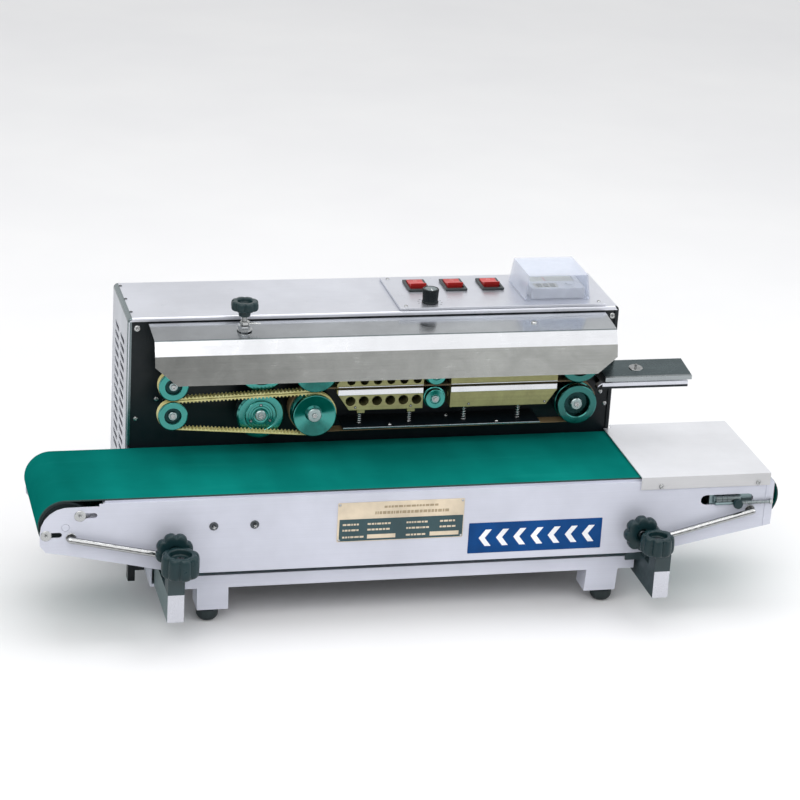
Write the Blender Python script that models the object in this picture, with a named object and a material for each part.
"""Continuous band sealer: a table-top bag sealing machine with a height- and depth-adjustable conveyor.

+X runs along the machine (bags travel from +X to -X), +Y points to the back, +Z is up. Sizes are in
millimetres from the middle of the conveyor's length (X), the outer face of the conveyor's front
plate (Y) and a level FOOT_BOTTOM below the soles of the feet (Z). The last step moves everything by
ORIGIN, so that the machine stands on Z = 0, with its extents in X and Y centred on the origin.
"""

import math

import bmesh
import bpy
from mathutils import Matrix, Vector

MM = 0.001
FOOT_BOTTOM = 2.9
ORIGIN = (1.0, 107.15, FOOT_BOTTOM)

# Dimensions that several sections share. Suffixes 0 and 1 are the low and high ends of a range.
BASE_X = 258.0                         # half the tray's length
BASE_Y0, BASE_Y1 = 10.0, 264.0
BASE_Z0, BASE_Z1 = 46.0, 61.5
HOUSING_X0, HOUSING_X1 = -307.0, 261.2
HOUSING_Y0, HOUSING_Y1 = 148.0, 267.0
HOUSING_Z0, HOUSING_Z1 = 62.0, 313.0
SHEET = 1.8                            # the housing's sheet metal
PANEL_Y = 150.0                        # front face of the housing's front panel

SEAL_Z = 236.05                        # plane where the two sealing belts meet
HALF_NIP = 0.15                        # from that plane to each belt
SEAL_BELT_T = 0.7
SEAL_BELT_CLEARANCE = 0.3              # between a belt and its wheels or blocks
BLOCK_GAP = HALF_NIP + SEAL_BELT_T + SEAL_BELT_CLEARANCE
DRIVE_R, IDLER_R, PRESS_R, EMBOSS_R = 25.1, 24.2, 12.9, 27.0
DRIVE_RISE = DRIVE_R + BLOCK_GAP       # from the sealing plane to the wheel's axis
IDLER_RISE = IDLER_R + BLOCK_GAP
PRESS_RISE = 14.25
SHAFT_R, SHAFT_HOLE_R = 4.0, 4.35
# wheel: x, z of the lower axis, z of the upper axis
WHEEL_AXES = {
    "drive_wheel": (-102.3, SEAL_Z - DRIVE_RISE, SEAL_Z + DRIVE_RISE),
    "guide_pulley": (-261.5, 213.7, 248.3),
    "emboss_wheel": (-160.5, 205.8, 260.7),
    "press_roller": (38.0, SEAL_Z - PRESS_RISE, SEAL_Z + PRESS_RISE),
    "idler_wheel": (205.0, SEAL_Z - IDLER_RISE, SEAL_Z + IDLER_RISE),
}
LEVELS = ("lower", "upper")

HEIGHT_LOCK = {"left": (-275.8, 106.4), "right": (253.1, 102.8)}    # knob axis: x, z
BRACE_LOCK = {"left": (-273.2, -47.0), "right": (262.6, -47.0)}     # knob axis: x, y
# pivot x, pivot z, far end x, far end z
BRACE = {"left": (-384.5, 118.7, -266.0, 91.96), "right": (387.0, 117.6, 257.0, 83.9)}
BRACE_Y = -7.0
SIDES = ("left", "right")

MATERIALS = {}


# ---------------------------------------------------------------------------
# materials
# ---------------------------------------------------------------------------
def material(name, colour, metallic=0.0, roughness=0.5, alpha=1.0):
    mat = bpy.data.materials.new(name)
    mat.use_nodes = True
    inputs = mat.node_tree.nodes["Principled BSDF"].inputs
    inputs["Base Color"].default_value = (*colour, 1.0)
    inputs["Metallic"].default_value = metallic
    inputs["Roughness"].default_value = roughness
    inputs["Alpha"].default_value = alpha
    MATERIALS[name] = mat


def make_materials():
    material("stainless", colour=(0.62, 0.63, 0.64), metallic=1.0, roughness=0.3)
    material("polished", colour=(0.72, 0.73, 0.73), metallic=1.0, roughness=0.12)
    material("black_paint", colour=(0.012, 0.018, 0.022))
    material("black_plastic", colour=(0.02, 0.035, 0.04), roughness=0.45)
    material("rubber", colour=(0.015, 0.02, 0.022), roughness=0.8)
    material("belt_green", colour=(0.005, 0.17, 0.14), roughness=0.55)
    material("band_ptfe", colour=(0.2, 0.13, 0.06))
    material("belt_yellow", colour=(0.55, 0.5, 0.15), roughness=0.6)
    material("brass_block", colour=(0.42, 0.38, 0.16), metallic=1.0, roughness=0.35)
    material("rocker_red", colour=(0.5, 0.03, 0.03), roughness=0.35)
    material("beige", colour=(0.6, 0.57, 0.5))
    material("aluminium", colour=(0.6, 0.61, 0.62), metallic=1.0, roughness=0.35)
    material("board_green", colour=(0.02, 0.12, 0.05))
    material("motor_grey", colour=(0.12, 0.13, 0.14), metallic=0.3)
    material("spring_steel", colour=(0.5, 0.5, 0.5), metallic=1.0, roughness=0.3)
    material("clear_cover", colour=(0.85, 0.87, 0.86), roughness=0.08, alpha=0.35)


# ---------------------------------------------------------------------------
# outlines: lists of points in a plane, angles in degrees
# ---------------------------------------------------------------------------
def arc(x, y, radius, start, end, steps):
    """steps + 1 points of an arc."""
    points = []
    for i in range(steps + 1):
        angle = math.radians(start + (end - start) * i / steps)
        points.append((x + radius * math.cos(angle), y + radius * math.sin(angle)))
    return points


def circle(x, y, radius, steps):
    return arc(x, y, radius, 0, 360, steps)[:-1]


def capsule(x, y, length, height, steps=4):
    radius = height / 2
    reach = length / 2 - radius
    return arc(x + reach, y, radius, -90, 90, steps) + arc(x - reach, y, radius, 90, 270, steps)


def star(x, y, radius, depth):
    """A star grip: seven round lobes with shallow valleys between them, four points to a lobe."""
    lobes, count = 7, 28
    points = []
    for i in range(count):
        angle = 2 * math.pi * i / count
        reach = radius - depth * (0.5 - 0.5 * math.cos(lobes * angle))
        points.append((x + reach * math.cos(angle), y + reach * math.sin(angle)))
    return points


def thick_path(points, thickness):
    """A closed outline round an open polyline, mitred at the bends.

    The thickness lies to the left of the direction of travel, or to the right if negative.
    """
    path = [Vector(point) for point in points]
    offset = []
    for i, point in enumerate(path):
        directions = []
        if i > 0:
            directions.append((path[i] - path[i - 1]).normalized())
        if i < len(path) - 1:
            directions.append((path[i + 1] - path[i]).normalized())
        normals = [Vector((-way.y, way.x)) for way in directions]
        mitre = sum(normals, Vector((0, 0))).normalized()
        offset.append(point + mitre * (thickness / mitre.dot(normals[0])))
    return [tuple(point) for point in path + offset[::-1]]


def belt_outline(axis_a, radius_a, axis_b, radius_b, steps):
    """Outline of an open belt round two pulleys."""
    (xa, za), (xb, zb) = axis_a, axis_b
    distance = math.hypot(xb - xa, zb - za)
    base = math.degrees(math.atan2(zb - za, xb - xa))
    half = math.degrees(math.acos((radius_a - radius_b) / distance))
    return arc(xb, zb, radius_b, base - half, base + half, steps) + arc(
        xa, za, radius_a, base + half, base + 360 - half, steps
    )


# ---------------------------------------------------------------------------
# builders: each returns a function that adds its shapes to a bmesh
# ---------------------------------------------------------------------------
def boxes(*items):
    """Boxes given as (x0, x1, y0, y1, z0, z1)."""

    def build(mesh):
        for x0, x1, y0, y1, z0, z1 in items:
            made = bmesh.ops.create_cube(mesh, size=1.0)["verts"]
            bmesh.ops.scale(mesh, vec=(x1 - x0, y1 - y0, z1 - z0), verts=made)
            middle = ((x0 + x1) / 2, (y0 + y1) / 2, (z0 + z1) / 2)
            bmesh.ops.translate(mesh, vec=middle, verts=made)

    return build


def section_point(axis, across, up, along):
    """Section points are (y, z) across X, (x, z) across Y and (x, y) across Z."""
    return {"x": (along, across, up), "y": (across, along, up), "z": (across, up, along)}[axis]


def prisms(axis, start, end, *outlines):
    """Outlines drawn across an axis and extruded along it from start to end."""

    def build(mesh):
        step = Vector(section_point(axis, 0, 0, end - start))
        for outline in outlines:
            verts = [mesh.verts.new(section_point(axis, *point, start)) for point in outline]
            face = mesh.faces.new(verts)
            made = bmesh.ops.extrude_face_region(mesh, geom=[face])["geom"]
            moved = [item for item in made if isinstance(item, bmesh.types.BMVert)]
            bmesh.ops.translate(mesh, vec=step, verts=moved)

    return build


def lathe(profile, axis, centre, steps):
    """(radius, coordinate along the axis) points spun round a line through `centre`."""

    def build(mesh):
        index = "xyz".index(axis)
        verts = []
        for radius, along in profile:
            point = Vector(centre)
            point[index] = along
            point["yzx".index(axis)] += radius
            verts.append(mesh.verts.new(point))
        edges = [mesh.edges.new(pair) for pair in zip(verts, verts[1:])]
        direction = Vector((0, 0, 0))
        direction[index] = 1.0
        bmesh.ops.spin(
            mesh,
            geom=verts + edges,
            cent=Vector(centre),
            axis=direction,
            angle=2 * math.pi,
            steps=steps,
            use_merge=True,
        )

    return build


def belt(axis_a, radius_a, axis_b, radius_b, thickness, y0, y1, steps=14):
    """A flat belt round two pulleys along Y; the radii are the belt's outer ones."""

    def build(mesh):
        rings = []
        for y in (y0, y1):
            for inset in (0.0, thickness):
                outline = belt_outline(axis_a, radius_a - inset, axis_b, radius_b - inset, steps)
                rings.append([mesh.verts.new((x, y, z)) for x, z in outline])
        outer0, inner0, outer1, inner1 = rings
        count = len(outer0)
        pairs = ((outer0, outer1), (outer1, inner1), (inner1, inner0), (inner0, outer0))
        for i in range(count):
            j = (i + 1) % count
            for ring, other in pairs:
                mesh.faces.new((ring[i], ring[j], other[j], other[i]))

    return build


def together(*builders):
    def build(mesh):
        for builder in builders:
            builder(mesh)

    return build


def tilted(builder, angle, place):
    """Another builder's shape, turned by `angle` from +X towards +Z and moved to `place`."""

    def build(mesh):
        builder(mesh)
        turn = Matrix.Rotation(-angle, 3, "Y")
        bmesh.ops.rotate(mesh, cent=(0, 0, 0), matrix=turn, verts=mesh.verts)
        bmesh.ops.translate(mesh, vec=place, verts=mesh.verts)

    return build


# ---------------------------------------------------------------------------
# objects
# ---------------------------------------------------------------------------
def solid(name, build, mat, origin=(0, 0, 0), smooth=False):
    """An object made by a builder in millimetres, with its origin at `origin`."""
    mesh = bmesh.new()
    build(mesh)
    bmesh.ops.remove_doubles(mesh, verts=mesh.verts, dist=1e-4)
    bmesh.ops.transform(mesh, matrix=Matrix.Translation(-Vector(origin)), verts=mesh.verts)
    bmesh.ops.scale(mesh, vec=(MM, MM, MM), verts=mesh.verts)
    bmesh.ops.recalc_face_normals(mesh, faces=mesh.faces)
    data = bpy.data.meshes.new(name)
    mesh.to_mesh(data)
    mesh.free()
    data.update()
    obj = bpy.data.objects.new(name, data)
    obj.location = Vector(origin) * MM
    bpy.context.scene.collection.objects.link(obj)
    if mat:
        data.materials.append(MATERIALS[mat])
    if smooth:
        for polygon in data.polygons:
            polygon.use_smooth = True
    return obj


def boolean(obj, name, build, operation):
    """Adds a boolean modifier that uses a hidden helper object."""
    helper = solid(name, build, None)
    helper.hide_render = True
    helper.display_type = "WIRE"
    modifier = obj.modifiers.new(name, "BOOLEAN")
    modifier.operation = operation
    modifier.solver = "EXACT"
    modifier.object = helper


def cut(obj, name, build):
    boolean(obj, name, build, "DIFFERENCE")


def join(obj, name, build):
    boolean(obj, name, build, "UNION")


# ---------------------------------------------------------------------------
# base: shallow folded tray, four legs, two side troughs for the carriage bars
# ---------------------------------------------------------------------------
BASE_WALL = 2.0
TRAY_CEILING = BASE_Z1 - BASE_WALL
LEG_BOTTOM = 19.8
LEG_WALL_X, LEG_SOLE_T = 3.2, 2.5
# left and right legs: x0, x1, sideways shift of the lower end
LEGS = ((-244.6, -209.6, 0.6), (202.2, 239.2, -1.6))
TROUGH_Y0, TROUGH_Y1 = 50.0, 145.0
# bracket on the left trough's outer wall: x, z
STOP_OUTLINE = [
    (-289.0, 33.0), (-289.0, 39.0), (-309.0, 39.0), (-309.0, 20.0), (-301.0, 20.0), (-301.0, 33.0),
]
FEET = {
    "front_left": (-230.0, 25.0),
    "front_right": (226.0, 25.0),
    "rear_left": (-230.0, 246.0),
    "rear_right": (226.0, 246.0),
}
FOOT_TOP = LEG_BOTTOM - 0.3
# radius, z
FOOT_PROFILE = [
    (0, FOOT_BOTTOM), (7.5, FOOT_BOTTOM), (11.5, 6.6), (12.5, 10.2), (12.5, 17.0),
    (10.0, FOOT_TOP), (0, FOOT_TOP),
]


def trough(side, outer_wall):
    """A side trough: side is -1 or +1, outer_wall the distance to the wall's inner face."""
    # distance from the middle, z
    section = (
        (256.5, 32.0), (256.5, 48.0), (259.5, 48.0), (259.5, 35.5),
        (outer_wall, 35.5), (outer_wall, 64.0), (outer_wall + 2.0, 64.0), (outer_wall + 2.0, 32.0),
    )
    return prisms("y", TROUGH_Y0, TROUGH_Y1, [(side * x, z) for x, z in section])


def legs():
    parts = []
    top = BASE_Z0 + 3
    for x0, x1, shift in LEGS:
        outline = [(x0, top), (x1, top), (x1 + shift, LEG_BOTTOM), (x0 + shift, LEG_BOTTOM)]
        parts.append(prisms("y", BASE_Y0, BASE_Y0 + 30.0, outline))
        parts.append(prisms("y", BASE_Y1 - 32.0, BASE_Y1 - 2.0, outline))
    return together(*parts)


def leg_hollows():
    """Open towards the machine's middle."""
    spans = ((BASE_Y0 + 2, BASE_Y0 + 40.0), (BASE_Y1 - 42.0, BASE_Y1 - 4.0))
    bottom = LEG_BOTTOM + LEG_SOLE_T
    return boxes(*[
        (x0 + LEG_WALL_X, x1 - LEG_WALL_X, y0, y1, bottom, TRAY_CEILING)
        for x0, x1, _ in LEGS
        for y0, y1 in spans
    ])


def base_frame():
    body = boxes((-BASE_X, BASE_X, BASE_Y0, BASE_Y1, BASE_Z0, BASE_Z1))
    base = solid("base_frame", body, "stainless")
    inner_x = BASE_X - BASE_WALL
    inner_y = (BASE_Y0 + BASE_WALL, BASE_Y1 - BASE_WALL)
    cut(base, "cut_base_tray", boxes((-inner_x, inner_x, *inner_y, BASE_Z0 - 5, TRAY_CEILING)))
    join(base, "add_legs", legs())
    cut(base, "cut_leg_hollows", leg_hollows())
    join(base, "add_left_trough", trough(-1, 288.2))
    join(base, "add_right_trough", trough(1, 281.6))
    join(base, "add_stop_bracket", prisms("y", 92.0, 104.0, STOP_OUTLINE))
    # the housing's floor reaches past the tray on both sides
    floor_x = (HOUSING_X0 + 1.0, HOUSING_X1 - 0.7)
    floor_y = (HOUSING_Y0 + 1.0, HOUSING_Y1 - 1.0)
    join(base, "add_housing_floor", boxes((*floor_x, *floor_y, TRAY_CEILING, BASE_Z1)))


def feet():
    for tag, (x, y) in FEET.items():
        shape = lathe(FOOT_PROFILE, "z", (x, y, 0), 18)
        solid("foot_" + tag, shape, "rubber", (x, y, 0), smooth=True)


# ---------------------------------------------------------------------------
# housing: bent shell with vent slots, front panel, back cover
# ---------------------------------------------------------------------------
SHELL_BEND_R = 5.0
RIM_T = 4.5                            # the shell's thicker front edge
# columns of slots: wall x, middle y, slot length, count, top slot's z, pitch
VENTS = (
    (HOUSING_X0, 230.0, 31.0, 14, 275.0, 11.0),
    (HOUSING_X0, 187.0, 31.0, 13, 275.0, 11.0),
    (HOUSING_X1, 208.0, 60.0, 9, 252.0, 13.0),
)
VENT_HEIGHT = 5.6
BACK_SLOT_X = (-200.0, 120.0)
# cord gland: radius, y
GLAND_PROFILE = [
    (0, HOUSING_Y1 - 2.0), (11.0, HOUSING_Y1 - 2.0), (11.0, HOUSING_Y1 + 3.0),
    (7.5, HOUSING_Y1 + 5.0), (6.5, HOUSING_Y1 + 14.0), (0, HOUSING_Y1 + 14.0),
]

PLATE_X0, PLATE_X1, PLATE_Y0, PLATE_Y1 = 2.0, 245.0, 149.5, 257.5     # control plate
PLATE_Z0, PLATE_Z1 = HOUSING_Z1 + 0.3, 316.3
FIT = 0.3                              # clearance round parts set in the top
SWITCH_X = (37.4, 81.2, 125.0)
SWITCH_Y = 221.5
NECK_X, NECK_Y = 11.0, 15.0            # half sizes of a switch's neck
BEZEL_TOP = 319.2
ROCKER_Z = 315.5                       # pivot height
ROCKER_TILT = -9.0                     # degrees; negative puts the rear end down
KNOB_X, KNOB_Y = 40.6, 167.5           # speed knob axis
# radius, z
KNOB_PROFILE = [
    (0, 303.0), (3.6, 303.0), (3.6, PLATE_Z1 + 0.8), (10.8, PLATE_Z1 + 0.8),
    (10.8, PLATE_Z1 + 3.0), (9.4, PLATE_Z1 + 5.0), (8.6, 331.9), (7.6, 333.1), (0, 333.1),
]
CONTROLLER_X0, CONTROLLER_X1, CONTROLLER_Y0, CONTROLLER_Y1 = 164.0, 222.0, 172.0, 222.0
CONTROLLER_TOP = 329.0
COVER_X0, COVER_X1, COVER_Y0, COVER_Y1 = 152.0, 230.0, 164.0, 236.0   # clear cover
COVER_TOP, COVER_WALL = 345.0, 1.6


def arch(thickness):
    """Section of the bent shell: up the left wall, over the top, down the right, back inside."""
    outer_r = SHELL_BEND_R
    inner_r = max(outer_r - thickness, 1.0)
    x0, x1, top = HOUSING_X0, HOUSING_X1, HOUSING_Z1
    inset = thickness + inner_r
    return (
        [(x0, HOUSING_Z0)]
        + arc(x0 + outer_r, top - outer_r, outer_r, 180, 90, 3)
        + arc(x1 - outer_r, top - outer_r, outer_r, 90, 0, 3)
        + [(x1, HOUSING_Z0), (x1 - thickness, HOUSING_Z0)]
        + arc(x1 - inset, top - inset, inner_r, 0, 90, 3)
        + arc(x0 + inset, top - inset, inner_r, 90, 180, 3)
        + [(x0 + thickness, HOUSING_Z0)]
    )


def vents():
    return together(*[
        prisms(
            "x", wall - 5, wall + 5,
            *[capsule(y, top - pitch * k, length, VENT_HEIGHT, 3) for k in range(count)],
        )
        for wall, y, length, count, top, pitch in VENTS
    ])


def at_switches(half_x, half_y, z0, z1):
    """One box centred on each switch."""
    return boxes(*[
        (x - half_x, x + half_x, SWITCH_Y - half_y, SWITCH_Y + half_y, z0, z1) for x in SWITCH_X
    ])


def top_openings():
    """Openings that the shell's top and the control plate share."""
    z0, z1 = HOUSING_Z1 - 6, PLATE_Z1 + 6
    return together(
        at_switches(NECK_X + FIT, NECK_Y + FIT, z0, z1),
        prisms("z", z0, z1, circle(KNOB_X, KNOB_Y, 4.0, 12)),
        boxes((
            CONTROLLER_X0 - FIT, CONTROLLER_X1 + FIT, CONTROLLER_Y0 - FIT, CONTROLLER_Y1 + FIT,
            z0, z1,
        )),
    )


def housing_shell():
    section = prisms("y", HOUSING_Y0 + 1.0, HOUSING_Y1, arch(SHEET))
    shell = solid("housing_shell", section, "stainless")
    join(shell, "add_shell_rim", prisms("y", HOUSING_Y0, HOUSING_Y0 + 1.6, arch(RIM_T)))
    cut(shell, "cut_vents", vents())
    cut(shell, "cut_top_openings", top_openings())


def panel_outline():
    """A flat panel that clears the shell's inner corners."""
    gap, chamfer = 0.3, 4.0
    x0, x1 = HOUSING_X0 + SHEET + gap, HOUSING_X1 - SHEET - gap
    z0, z1 = HOUSING_Z0 + 0.2, HOUSING_Z1 - SHEET - gap
    return [
        (x0, z0), (x1, z0), (x1, z1 - chamfer), (x1 - chamfer, z1), (x0 + chamfer, z1),
        (x0, z1 - chamfer),
    ]


def front_panel():
    panel = solid("front_panel", prisms("y", PANEL_Y, PANEL_Y + 2.0, panel_outline()), "black_paint")
    # the upper emboss wheel's shaft ends in the pressure slide
    holes = [
        circle(x, z, SHAFT_HOLE_R, 16)
        for name, (x, *heights) in WHEEL_AXES.items()
        for level, z in zip(LEVELS, heights)
        if (name, level) != ("emboss_wheel", "upper")
    ]
    cut(panel, "cut_panel_holes", prisms("y", PANEL_Y - 5, PANEL_Y + 8, *holes))


def back_cover():
    section = prisms("y", HOUSING_Y1 - 3.0, HOUSING_Y1 - 1.2, panel_outline())
    back = solid("back_cover", section, "stainless")
    slots = [capsule(x, 232.0 - 13.0 * k, 74.0, 5.0, 3) for x in BACK_SLOT_X for k in range(7)]
    cut(back, "cut_back_slots", prisms("y", HOUSING_Y1 - 8, HOUSING_Y1 + 4, *slots))
    join(back, "add_cord_gland", lathe(GLAND_PROFILE, "y", (200.0, 0, 100.0), 14))


def control_plate():
    body = boxes((PLATE_X0, PLATE_X1, PLATE_Y0, PLATE_Y1, PLATE_Z0, PLATE_Z1))
    plate = solid("control_plate", body, "stainless")
    cut(plate, "cut_plate_openings", top_openings())


def switch_bank():
    """One body under the housing's top with a neck, bezel and well for each switch."""
    body = boxes((
        SWITCH_X[0] - 15, SWITCH_X[2] + 15, SWITCH_Y - 17, SWITCH_Y + 17,
        300.0, HOUSING_Z1 - SHEET - 0.4,
    ))
    bank = solid("switch_bank", body, "black_plastic")
    join(bank, "add_switch_necks", at_switches(NECK_X, NECK_Y, 305.0, BEZEL_TOP - 1))
    join(bank, "add_switch_bezels", at_switches(12.8, 18.3, PLATE_Z1 + FIT, BEZEL_TOP))
    cut(bank, "cut_switch_wells", at_switches(9.8, 13.8, 306.0, BEZEL_TOP + 10))


def rockers():
    # y, z from the pivot: a shallow V on top, round underneath
    section = [(-12.6, 7.2), (0.0, 5.4), (12.6, 7.2)] + arc(0, 0, 7.0, -20, -160, 5)
    cosine, sine = math.cos(math.radians(ROCKER_TILT)), math.sin(math.radians(ROCKER_TILT))
    outline = [
        (SWITCH_Y + y * cosine - z * sine, ROCKER_Z + y * sine + z * cosine) for y, z in section
    ]
    for tag, x in zip(("left", "middle", "right"), SWITCH_X):
        shape = prisms("x", x - 9.3, x + 9.3, outline)
        solid("rocker_" + tag, shape, "rocker_red", (x, SWITCH_Y, ROCKER_Z))


def speed_knob():
    shape = lathe(KNOB_PROFILE, "z", (KNOB_X, KNOB_Y, 0), 20)
    solid("speed_knob", shape, "black_plastic", (KNOB_X, KNOB_Y, 325.0), smooth=True)


def temp_controller():
    body = boxes((CONTROLLER_X0, CONTROLLER_X1, CONTROLLER_Y0, CONTROLLER_Y1, 262.0, 320.0))
    controller = solid("temp_controller", body, "beige")
    face = boxes((161.0, 224.5, 169.0, 225.0, PLATE_Z1 + FIT, CONTROLLER_TOP))
    join(controller, "add_controller_face", face)
    window = boxes((166.0, 219.5, 195.0, 219.0, CONTROLLER_TOP - 1.6, CONTROLLER_TOP + 5))
    cut(controller, "cut_controller_window", window)


def cover_box(inset, z0, z1):
    """The clear cover's box: a little smaller at the top than at the bottom."""
    x0, x1 = COVER_X0 + inset, COVER_X1 - inset
    y0, y1 = COVER_Y0 + inset, COVER_Y1 - inset
    low = ((x0, y0), (x1, y0), (x1, y1), (x0, y1))
    high = ((x0 + 4, y0 + 4.5), (x1 - 3, y0 + 4.5), (x1 - 3, y1 - 1.5), (x0 + 4, y1 - 1.5))

    def build(mesh):
        bottom = [mesh.verts.new((x, y, z0)) for x, y in low]
        top = [mesh.verts.new((x, y, z1)) for x, y in high]
        mesh.faces.new(bottom[::-1])
        mesh.faces.new(top)
        for i in range(4):
            j = (i + 1) % 4
            mesh.faces.new((bottom[i], bottom[j], top[j], top[i]))

    return build


def controller_cover():
    origin = ((COVER_X0 + COVER_X1) / 2, COVER_Y1, PLATE_Z1 + 2.0)
    outside = cover_box(0.0, PLATE_Z1 + 0.5, COVER_TOP)
    cover = solid("controller_cover", outside, "clear_cover", origin)
    inside = cover_box(COVER_WALL, PLATE_Z1 - 2.0, COVER_TOP - COVER_WALL)
    cut(cover, "cut_cover_inside", inside)


# ---------------------------------------------------------------------------
# guard over the sealing train, pressure knob and slide
# ---------------------------------------------------------------------------
GUARD_X0, GUARD_X1 = -284.0, 244.0
# y, z
GUARD_PATH = [(149.7, 284.0), (149.7, 307.2), (100.0, 302.8), (93.0, 287.0), (85.0, 255.3)]
# what is cut from the guard's lower front corners: x, z
GUARD_CORNERS = (
    [
        (GUARD_X0 - 10, 276.0), (GUARD_X0 - 0.5, 276.0), (GUARD_X0 + 26, 254.0),
        (GUARD_X0 + 26, 240.0), (GUARD_X0 - 10, 240.0),
    ],
    [
        (GUARD_X1 + 10, 273.5), (GUARD_X1 + 0.5, 273.5), (GUARD_X1 - 25, 254.0),
        (GUARD_X1 - 25, 240.0), (GUARD_X1 + 10, 240.0),
    ],
)
PRESSURE_X, PRESSURE_Y = -181.5, 123.0          # pressure knob axis
# radius, z
PRESSURE_SCREW = [(0, 297.0), (3.2, 297.0), (3.2, 319.0), (8.0, 321.0), (8.0, 326.0), (0, 326.0)]
SLIDE_TOP = 293.2


def guard():
    sheet = prisms("x", GUARD_X0, GUARD_X1, thick_path(GUARD_PATH, 1.5))
    body = solid("guard", sheet, "stainless")
    nut = prisms("z", 303.5, 311.0, circle(PRESSURE_X, PRESSURE_Y, 7.0, 6))
    join(body, "add_pressure_nut", nut)
    corners = prisms("y", 70.0, 99.0, *GUARD_CORNERS)
    screw_hole = prisms("z", 295.0, 315.0, circle(PRESSURE_X, PRESSURE_Y, 3.6, 12))
    cut(body, "cut_guard_corners", together(corners, screw_hole))


def pressure_knob():
    grip = prisms("z", 325.0, 336.5, star(PRESSURE_X, PRESSURE_Y, 14.3, 2.4))
    knob = solid("pressure_knob", grip, "black_plastic", (PRESSURE_X, PRESSURE_Y, 325.0))
    screw = lathe(PRESSURE_SCREW, "z", (PRESSURE_X, PRESSURE_Y, 0), 14)
    join(knob, "add_pressure_screw", screw)
    recess = prisms("z", 331.5, 345.0, circle(PRESSURE_X, PRESSURE_Y, 6.5, 12))
    cut(knob, "cut_pressure_recess", recess)


def pressure_slide():
    """Block on the upper emboss wheel's shaft, with an arm under the pressure screw."""
    x, _, z = WHEEL_AXES["emboss_wheel"]
    body = boxes((x - 11, x + 11, 134.0, 147.7, 246.0, SLIDE_TOP))
    slide = solid("pressure_slide", body, "stainless", (x, 140.0, z))
    arm = boxes((PRESSURE_X - 7, x + 11, 112.0, 136.0, 289.4, SLIDE_TOP))
    join(slide, "add_slide_arm", arm)
    cut(slide, "cut_slide_bore", prisms("y", 125.0, 160.0, circle(x, z, SHAFT_HOLE_R, 16)))


# ---------------------------------------------------------------------------
# sealing train: wheels, blocks, belts
# ---------------------------------------------------------------------------
# wheel: lathe steps, (radius, y) from the front face to the rim's rear edge
WHEEL_PROFILES = {
    "drive_wheel": (26, [
        (0, 99.0), (8.5, 99.0), (9.0, 101.5), (21.5, 98.2), (24.6, 98.2), (24.6, 103.4),
        (22.4, 103.4), (22.4, 112.6), (DRIVE_R, 112.6), (DRIVE_R, 131.5),
    ]),
    "guide_pulley": (22, [
        (0, 101.0), (5.0, 101.0), (5.0, 104.0), (8.8, 104.0), (8.8, 100.6), (16.6, 100.6),
        (16.6, 103.4), (13.4, 103.4), (13.4, 113.0),
    ]),
    "emboss_wheel": (26, [
        (0, 112.9), (6.5, 112.9), (6.5, 114.4), (17.0, 114.4), (18.0, 113.6), (24.5, 113.6),
        (EMBOSS_R, 116.5), (EMBOSS_R, 130.0),
    ]),
    "press_roller": (20, [
        (0, 106.5), (4.5, 106.5), (5.0, 108.0), (11.4, 107.0), (11.4, 113.0), (PRESS_R, 113.0),
        (PRESS_R, 131.0),
    ]),
    "idler_wheel": (26, [
        (0, 104.5), (7.2, 104.5), (7.2, 110.0), (13.5, 110.0), (15.0, 103.0), (23.3, 103.0),
        (23.3, 113.0), (IDLER_R, 113.0), (IDLER_R, 131.0),
    ]),
}
SHAFT_END, SLIDE_SHAFT_END = 158.0, 147.0
SEAL_BELT_Y = (114.5, 130.0)
GUIDE_BELT_Y = (104.0, 112.0)
GUIDE_BELT_T = 1.5
GUIDE_BELT_DRIVE_R, GUIDE_BELT_PULLEY_R = 25.8, 16.9       # the belt's outer radii

COOL_X0, COOL_X1, COOL_HEIGHT = -75.5, 24.6, 28.4
HEAT_X0, HEAT_X1, HEAT_HEIGHT = 56.3, 182.0, 25.2
BLOCK_Y0, BLOCK_Y1 = 111.0, 133.0
BLOCK_MID_Y = (BLOCK_Y0 + BLOCK_Y1) / 2
COOL_HOLE_X, COOL_HOLE_PITCH, COOL_HOLE_R = -59.3, 15.26, 5.6
COOL_HOLE_RISE = 15.65                 # from the sealing plane to the holes' axes
MOUNT_Y = (120, PANEL_Y - 0.3)
SHELF_TOP = 188.4
SPRING_R, SPRING_GAP = 3.0, 0.3
# block: x of its springs, block height
SPRINGS = {"cooling": ((-46.0, 12.0), COOL_HEIGHT), "heating": ((76.0, 140.0), HEAT_HEIGHT)}


def wheels():
    for name, (steps, profile) in WHEEL_PROFILES.items():
        x, *heights = WHEEL_AXES[name]
        for level, z in zip(LEVELS, heights):
            in_slide = (name, level) == ("emboss_wheel", "upper")
            end = SLIDE_SHAFT_END if in_slide else SHAFT_END
            full = profile + [(SHAFT_R, profile[-1][1]), (SHAFT_R, end), (0, end)]
            shape = lathe(full, "y", (x, 0, z), steps)
            solid(f"{name}_{level}", shape, "polished", (x, 120.0, z), smooth=True)


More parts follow.
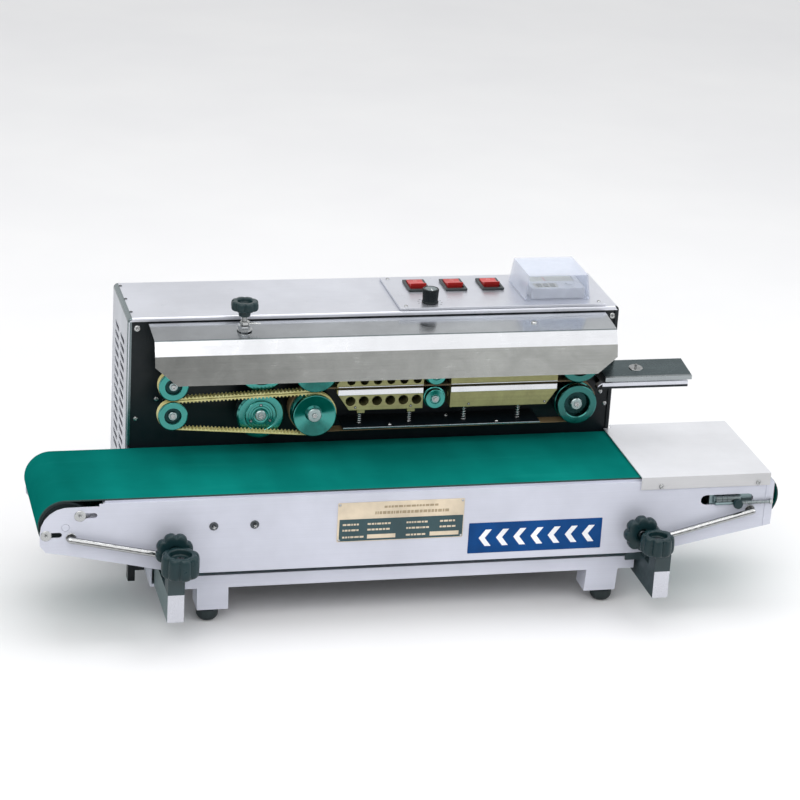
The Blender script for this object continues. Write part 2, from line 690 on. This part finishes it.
def cooling_block(level, sign, origin_z):
    """sign is -1 for the block below the sealing plane, +1 for the one above."""
    face = SEAL_Z + sign * BLOCK_GAP
    far = face + sign * COOL_HEIGHT
    section = [
        (COOL_X0, face), (COOL_X1, face), (COOL_X1, far), (COOL_X0 + 15.0, far),
        (COOL_X0, face + sign * 4.0),
    ]
    shape = prisms("y", BLOCK_Y0, BLOCK_Y1, section)
    block = solid("cooling_block_" + level, shape, "brass_block", (-25, 122, origin_z))
    hole_z = SEAL_Z + sign * COOL_HOLE_RISE
    holes = [
        circle(COOL_HOLE_X + COOL_HOLE_PITCH * k, hole_z, COOL_HOLE_R, 12) for k in range(6)
    ]
    cut(block, "cut_cool_" + level, prisms("y", BLOCK_Y0 - 5, BLOCK_Y1 + 5, *holes))
    if level == "upper":
        mounts = boxes(*[(x, x + 12, *MOUNT_Y, 258.5, 263.5) for x in (-66, 4)])
        join(block, "add_cool_mounts", mounts)


def heating_block(level, sign, origin_z, bore_z):
    face = SEAL_Z + sign * BLOCK_GAP
    far = face + sign * HEAT_HEIGHT
    section = [
        (HEAT_X0, face), (HEAT_X1, face), (HEAT_X1, face + sign * 7.5), (HEAT_X1 - 12.0, far),
        (HEAT_X0, far),
    ]
    shape = prisms("y", BLOCK_Y0, BLOCK_Y1, section)
    block = solid("heating_block_" + level, shape, "brass_block", (119, 122, origin_z))
    if level == "upper":
        mounts = boxes(*[(x, x + 12, *MOUNT_Y, 250.0, 259.0) for x in (70, 150)])
        join(block, "add_heat_mounts", mounts)
    bore = prisms("x", HEAT_X0 - 5, HEAT_X1 - 30, circle(BLOCK_MID_Y, bore_z, 4.2, 12))
    cut(block, "cut_heater_bore_" + level, bore)


def blocks():
    cooling_block("lower", -1, origin_z=220)
    cooling_block("upper", 1, origin_z=250)
    heating_block("lower", -1, origin_z=220, bore_z=221.0)
    heating_block("upper", 1, origin_z=250, bore_z=249.0)


def spring_shelf():
    path = [(112.0, SHELF_TOP), (149.6, SHELF_TOP), (149.6, 172.0)]
    solid("spring_shelf", prisms("x", -66.0, 165.0, thick_path(path, -1.6)), "stainless")


def springs():
    """Plain cylinders between the shelf and the lower blocks."""
    bottom = SHELF_TOP + SPRING_GAP
    for tag, (places, height) in SPRINGS.items():
        top = SEAL_Z - BLOCK_GAP - height - SPRING_GAP
        for side, x in zip(SIDES, places):
            shape = prisms("z", bottom, top, circle(x, BLOCK_MID_Y, SPRING_R, 10))
            origin = (x, BLOCK_MID_Y, bottom)
            solid(f"{tag}_spring_{side}", shape, "spring_steel", origin, smooth=True)


def train_belts():
    drive_x, *drive_heights = WHEEL_AXES["drive_wheel"]
    idler_x, *idler_heights = WHEEL_AXES["idler_wheel"]
    pulley_x, *pulley_heights = WHEEL_AXES["guide_pulley"]
    outset = SEAL_BELT_CLEARANCE + SEAL_BELT_T
    for i, level in enumerate(LEVELS):
        drive = (drive_x, drive_heights[i])
        idler = (idler_x, idler_heights[i])
        pulley = (pulley_x, pulley_heights[i])
        seal = belt(drive, DRIVE_R + outset, idler, IDLER_R + outset, SEAL_BELT_T, *SEAL_BELT_Y)
        solid("seal_belt_" + level, seal, "band_ptfe")
        guide = belt(
            pulley, GUIDE_BELT_PULLEY_R, drive, GUIDE_BELT_DRIVE_R, GUIDE_BELT_T, *GUIDE_BELT_Y
        )
        solid("guide_belt_" + level, guide, "belt_yellow")


# ---------------------------------------------------------------------------
# infeed guides at the right-hand end: paths are y, z
# ---------------------------------------------------------------------------
INFEED_T = 1.4
UPPER_LIP = [(104.0, 237.2), (104.0, 242.2)]
LOWER_TOP = 235.6
LOWER_PATH = [(104.5, 228.6), (104.5, LOWER_TOP), (147.4, LOWER_TOP)]
# x, z
BRACKET_OUTLINE = [(240.0, 235.0), (255.0, 235.0), (255.0, 214.0), (248.0, 219.0), (240.0, 219.0)]
NOSE_X, NOSE_R = 235.0, 7.8            # the lower guide's rolled-down inner end


def infeed_guide_upper():
    section = thick_path(UPPER_LIP + [(145.2, 247.4), (148.1, 262.0)], -INFEED_T)
    guide = solid("infeed_guide_upper", prisms("x", 237.0, 256.3, section), "stainless")
    wing = thick_path(UPPER_LIP + [(146.0, 247.5)], -INFEED_T)
    join(guide, "add_infeed_wing", prisms("x", 255.0, 341.0, wing))


def infeed_guide_lower():
    section = thick_path(LOWER_PATH, -INFEED_T)
    guide = solid("infeed_guide_lower", prisms("x", 234.0, 337.0, section), "stainless")
    join(guide, "add_infeed_bracket", prisms("y", 136.0, 149.6, BRACKET_OUTLINE))
    nose_z = LOWER_TOP - NOSE_R
    nose = (
        [(NOSE_X, LOWER_TOP)]
        + arc(NOSE_X, nose_z, NOSE_R, 90, 175, 4)
        + arc(NOSE_X, nose_z, NOSE_R - INFEED_T, 175, 90, 4)
        + [(NOSE_X, LOWER_TOP - INFEED_T)]
    )
    join(guide, "add_infeed_nose", prisms("y", 104.5, 112.5, nose))


# ---------------------------------------------------------------------------
# inside the housing: gear motor and control board
# ---------------------------------------------------------------------------
INSIDE_FLOOR = 62.2
MOTOR_CAN = [(0, -64.0), (36.0, -64.0), (36.0, 52.0), (30.0, 58.0), (0, 58.0)]    # radius, x
# parts that stand on the board: x0, x1, y0, y1, z0, z1
BOARD_PARTS = [
    (108, 152, 182, 236, 75.5, 112), (168, 182, 180, 200, 75.5, 94), (190, 214, 206, 240, 75.5, 90),
]
BOARD_POST = 6                         # width of the posts under the board


def drive_motor():
    motor = solid("drive_motor", boxes((-130, -62, 170, 246, INSIDE_FLOOR, 152)), "motor_grey")
    join(motor, "add_motor_can", lathe(MOTOR_CAN, "x", (0, 208.0, 108.0), 22))


def control_board():
    board = solid("control_board", boxes((96, 226, 168, 250, 74, 76)), "board_green")
    posts = [
        (x, x + BOARD_POST, y, y + BOARD_POST, INSIDE_FLOOR, 75) for y in (170, 242) for x in (98, 218)
    ]
    join(board, "add_board_parts", boxes(*BOARD_PARTS, *posts))


# ---------------------------------------------------------------------------
# carriage: two bars that slide in the base, with clamp posts and slotted brackets
# ---------------------------------------------------------------------------
BAR_Y0, BAR_Y1, BAR_Z0, BAR_Z1 = -50.0, 143.5, 36.0, 68.0
LOCK_SLOT_R = 3.8
EYE_R = 4.7                            # hole for the brace


def carriage(side, bar, bracket, eye_x):
    """bar and bracket are ranges in x; eye_x is the middle of the eye the brace runs through."""
    name = "carriage_" + side
    lock_x, lock_z = HEIGHT_LOCK[side]
    brace_x, brace_z, end_x, end_z = BRACE[side]
    slope = (end_z - brace_z) / (end_x - brace_x)
    eye_z = brace_z + slope * (eye_x - brace_x)
    body = solid(name, boxes((*bar, BAR_Y0, BAR_Y1, BAR_Z0, BAR_Z1)), "stainless")
    join(body, name + "_bracket", boxes((*bracket, 1.9, 4.6, BAR_Z1 - 8, 142.0)))
    join(body, name + "_block", boxes((*bar, BAR_Y0, BAR_Y0 + 22, BAR_Z1 - 2, 88.6)))
    eye_box = (eye_x - 7, eye_x + 7, BRACE_Y - 6, BRACE_Y + 6, BAR_Z1 - 2, eye_z + 6.5)
    join(body, name + "_eye", boxes(eye_box))
    stud = [(0, 86.0), (4.0, 86.0), (4.0, 102.0), (0, 102.0)]
    join(body, name + "_stud", lathe(stud, "z", (*BRACE_LOCK[side], 0), 12))
    slot = arc(lock_x, lock_z + 16.0, LOCK_SLOT_R, 0, 180, 4) + arc(
        lock_x, lock_z - 1.0, LOCK_SLOT_R, 180, 360, 4
    )
    cut(body, name + "_slot", prisms("y", 0.5, 8.0, slot))
    hole = lathe([(0, -14.0), (EYE_R, -14.0), (EYE_R, 14.0), (0, 14.0)], "x", (0, 0, 0), 14)
    cut(body, name + "_eye_cut", tilted(hole, math.atan(slope), (eye_x, BRACE_Y, eye_z)))


def carriages():
    carriage("left", bar=(-286.3, -268.3), bracket=(-283.3, -269.8), eye_x=-276.3)
    bracket_x0 = HEIGHT_LOCK["right"][0] - 9.0
    carriage("right", bar=(261.5, 279.5), bracket=(bracket_x0, 275.5), eye_x=269.0)


# ---------------------------------------------------------------------------
# conveyor
# ---------------------------------------------------------------------------
CONVEYOR_Y0, CONVEYOR_Y1 = 0.0, 146.5  # outer faces of the two side plates
SIDE_PLATE_T = 1.5
SIDE_PLATE_TOP = 156.3
SIDE_PLATE_BOTTOM = 69.8
SIDE_PLATE_RIGHT = 414.0
ROLLER_LEFT_X, ROLLER_RIGHT_X, ROLLER_Z = -390.5, 392.5, 130.5
BELT_TOP, BELT_T = 159.9, 1.5
BELT_R = BELT_TOP - ROLLER_Z           # outer radius of the belt round the end rollers
ROLLER_R = BELT_R - BELT_T - 0.3
AXLE_R, AXLE_HOLE_R = 4.0, 4.3
TENSION_SLOT_X0, TENSION_SLOT_X1, TENSION_SLOT_Z, TENSION_SLOT_H = 327.0, 390.0, 131.0, 12.0
END_COVER_X0, END_COVER_X1, END_COVER_TOP, END_COVER_T = 254.0, 408.0, 162.4, 1.5
# y, z
END_COVER_OUTLINE = [
    (-1.9, 147.2), (-0.4, 147.2), (-0.4, END_COVER_TOP - END_COVER_T),
    (147.2, END_COVER_TOP - END_COVER_T), (147.2, END_COVER_TOP), (-1.9, END_COVER_TOP),
]


def side_plate_outline():
    """Seen from the front, counter-clockwise from the step at the left of its top edge."""
    return [
        (-354.5, SIDE_PLATE_TOP), (-354.5, 153.6), (-384.0, 153.4),
        *arc(-388.0, 123.6, 29.8, 97, 180, 5),
        (-417.8, 110.0), (-411.5, 102.0),
        (-390.0, 98.2), (-326.0, 84.6), (-286.0, 75.6), (-255.0, 70.4),
        (-247.0, SIDE_PLATE_BOTTOM), (252.0, SIDE_PLATE_BOTTOM),
        (262.0, 70.4), (299.4, 74.6), (SIDE_PLATE_RIGHT, 97.9),
        (SIDE_PLATE_RIGHT, 150.0), (408.0, SIDE_PLATE_TOP),
    ]


def conveyor_holes():
    """Holes in the front plate, and the left roller's axle hole in the rear plate."""
    axle = circle(ROLLER_LEFT_X, ROLLER_Z, AXLE_HOLE_R, 14)
    slot_mid = (TENSION_SLOT_X0 + TENSION_SLOT_X1) / 2
    slot_length = TENSION_SLOT_X1 - TENSION_SLOT_X0
    front = [circle(*HEIGHT_LOCK[side], 3.5, 12) for side in SIDES]
    front += [circle(*BRACE[side][:2], 3.4, 12) for side in SIDES]
    front += [
        capsule(slot_mid, TENSION_SLOT_Z, slot_length, TENSION_SLOT_H, 5),
        capsule(-366.0, 143.4, 19.0, 6.0),
        capsule(-403.0, 122.1, 18.0, 6.0),
        axle,
    ]
    return together(
        prisms("y", CONVEYOR_Y0 - 2.0, CONVEYOR_Y0 + 3.0, *front),
        prisms("y", CONVEYOR_Y1 - 3, CONVEYOR_Y1 + 2, axle),
    )


def conveyor_frame():
    outline = side_plate_outline()
    front = prisms("y", CONVEYOR_Y0, CONVEYOR_Y0 + SIDE_PLATE_T, outline)
    frame = solid("conveyor_frame", front, "stainless")
    join(frame, "add_rear_plate", prisms("y", CONVEYOR_Y1 - SIDE_PLATE_T, CONVEYOR_Y1, outline))
    tray = boxes((-350.0, 350.0, CONVEYOR_Y0 + 1.0, CONVEYOR_Y1 - 1.0, 153.8, 155.8))
    join(frame, "add_conveyor_tray", tray)
    join(frame, "add_conveyor_bed", boxes((-348.0, 348.0, 5.0, 144.0, 155.0, 158.0)))
    cut(frame, "cut_conveyor_holes", conveyor_holes())


def conveyor_belt():
    left, right = (ROLLER_LEFT_X, ROLLER_Z), (ROLLER_RIGHT_X, ROLLER_Z)
    shape = belt(left, BELT_R, right, BELT_R, BELT_T, 5.2, 143.8, steps=16)
    solid("conveyor_belt", shape, "belt_green")


def end_cover():
    sheet = prisms("x", END_COVER_X0, END_COVER_X1, END_COVER_OUTLINE)
    cover = solid("end_cover", sheet, "stainless")
    wing_z = (END_COVER_TOP - END_COVER_T, END_COVER_TOP)
    join(cover, "add_cover_wing", boxes((264.0, END_COVER_X1, 146.0, 156.5, *wing_z)))


def roller(name, x, axle_y0, drum_y0, drum_y1, axle_y1):
    profile = [
        (0, axle_y0), (AXLE_R, axle_y0), (AXLE_R, drum_y0), (ROLLER_R, drum_y0),
        (ROLLER_R, drum_y1), (AXLE_R, drum_y1), (AXLE_R, axle_y1), (0, axle_y1),
    ]
    shape = lathe(profile, "y", (x, 0, ROLLER_Z), 28)
    solid(name, shape, "aluminium", (x, 74.0, ROLLER_Z), smooth=True)


def tension_yoke():
    """Two arms that carry the right-hand roller, a cross bar, and a boss with its screw rod."""
    x0, x1, z0, z1 = 338.0, 400.0, 122.0, 140.0
    yoke = solid("tension_yoke", boxes((x0, x1, 2.2, 9.0, z0, z1)), "stainless")
    join(yoke, "add_yoke_rear", boxes((x0, x1, 138.2, 144.0, z0, z1)))
    join(yoke, "add_yoke_bar", boxes((x0, 350.0, 8.0, 140.0, 125.0, 137.0)))
    join(yoke, "add_yoke_boss", boxes((342.5, 374.5, -1.2, 4.0, 126.6, 135.4)))
    rod = [(0, 343.6), (1.9, 343.6), (1.9, 411.0), (0, 411.0)]
    join(yoke, "add_tension_rod", lathe(rod, "x", (0, -2.9, 127.3), 10))
    bore = circle(ROLLER_RIGHT_X, ROLLER_Z, AXLE_HOLE_R, 14)
    cut(yoke, "cut_yoke_bores", prisms("y", 0.0, 150.0, bore))


def brace(side):
    """A plain rod pivoted on the front plate."""
    name = "brace_" + side
    x0, z0, x1, z1 = BRACE[side]
    length = math.hypot(x1 - x0, z1 - z0)
    angle = math.atan2(z1 - z0, x1 - x0)
    profile = [(0, -5.0), (2.4, -4.2), (3.5, -1.0), (3.5, length), (0, length)]
    pivot = (x0, BRACE_Y, z0)
    rod = tilted(lathe(profile, "x", (0, 0, 0), 14), angle, pivot)
    body = solid(name, rod, "polished", pivot, smooth=True)
    pin = [(0, BRACE_Y), (3.0, BRACE_Y), (3.0, 2.2), (0, 2.2)]
    join(body, name + "_pin", lathe(pin, "y", (x0, 0, z0), 12))


# ---------------------------------------------------------------------------
# star grips
# ---------------------------------------------------------------------------
# radius, y
HEIGHT_SCREW = [
    (0, -16.0), (5.0, -16.0), (4.6, -11.5), (3.1, -11.5), (3.1, 4.9), (0, 4.9),
]


def height_knob(side):
    """Grip whose screw runs back through the front plate."""
    name = "height_knob_" + side
    x, z = HEIGHT_LOCK[side]
    grip = prisms("y", -26.4, -14.6, star(x, z, 18.6, 3.0))
    body = solid(name, grip, "black_plastic", (x, -20.0, z))
    join(body, name + "_screw", lathe(HEIGHT_SCREW, "y", (x, 0, z), 14))
    cut(body, name + "_recess", prisms("y", -35.0, -21.5, circle(x, z, 7.5, 12)))


def brace_knob(side):
    """Grip on the carriage's upright stud."""
    name = "brace_knob_" + side
    x, y = BRACE_LOCK[side]
    grip = prisms("z", 89.4, 111.2, star(x, y, 20.2, 3.2))
    body = solid(name, grip, "black_plastic", (x, y, 100.0))
    bore = prisms("z", 80.0, 103.5, circle(x, y, 4.3, 12))
    recess = prisms("z", 106.2, 120.0, circle(x, y, 10.3, 14))
    cut(body, name + "_bore", together(bore, recess))


# ---------------------------------------------------------------------------
# assembly
# ---------------------------------------------------------------------------
for obj in list(bpy.data.objects):
    bpy.data.objects.remove(obj, do_unlink=True)

make_materials()

base_frame()
feet()

housing_shell()
front_panel()
back_cover()
control_plate()
switch_bank()
rockers()
speed_knob()
temp_controller()
controller_cover()

guard()
pressure_knob()
pressure_slide()

wheels()
blocks()
spring_shelf()
springs()
train_belts()
infeed_guide_upper()
infeed_guide_lower()

drive_motor()
control_board()

carriages()
conveyor_frame()
conveyor_belt()
end_cover()
roller("drive_roller", ROLLER_LEFT_X, axle_y0=-0.2, drum_y0=6.5, drum_y1=142.0, axle_y1=147.4)
roller("tension_roller", ROLLER_RIGHT_X, axle_y0=4.6, drum_y0=11.0, drum_y1=136.0, axle_y1=142.6)
tension_yoke()
for end in SIDES:
    brace(end)
    height_knob(end)
    brace_knob(end)

for obj in bpy.data.objects:
    obj.location -= Vector(ORIGIN) * MM
